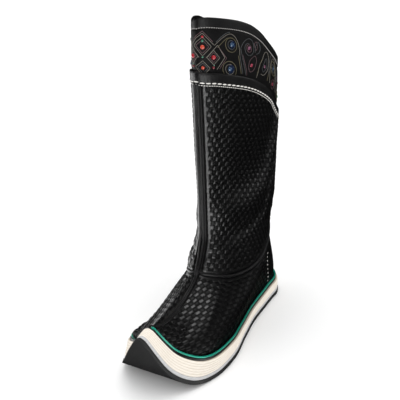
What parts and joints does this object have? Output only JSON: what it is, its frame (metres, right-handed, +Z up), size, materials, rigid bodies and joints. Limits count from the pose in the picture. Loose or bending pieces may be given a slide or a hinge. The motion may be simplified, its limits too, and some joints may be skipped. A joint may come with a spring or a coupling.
{
  "type": "leather boot",
  "caption": "Tall black leather boot with a curled pointed toe, a thick layered pale sole, green edge piping and an ornamented inner cuff standing above the collar.",
  "frame": {"origin": "bottom centre of the bounding box, on the floor under the sole", "axes": "+Z up, toe towards -Y, +X to the boot's left-hand side, which is the inner side of a right boot"},
  "size_m": [0.1182, 0.3325, 0.4119],
  "materials": {
    "outsole": "matte",
    "base_strip": "matte",
    "midsole": "matte layered",
    "welt": "satin",
    "edge_piping": "gloss",
    "insole": "matte",
    "vamp": "embossed satin",
    "ankle_piping": "satin",
    "shaft": "embossed satin",
    "front_cord_left": "satin",
    "front_cord_right": "satin",
    "collar_band": "satin",
    "liner": "stitched",
    "liner_binding": "satin"
  },
  "bodies": {
    "root": {"outsole": "outsole", "base_strip": "base_strip", "midsole": "midsole", "welt": "welt", "edge_piping": "edge_piping", "insole": "insole", "vamp": "vamp", "ankle_piping": "ankle_piping", "shaft": "shaft", "front_cord_left": "front_cord_left", "front_cord_right": "front_cord_right", "collar_band": "collar_band", "liner": "liner", "liner_binding": "liner_binding"}
  },
  "joints": []
}
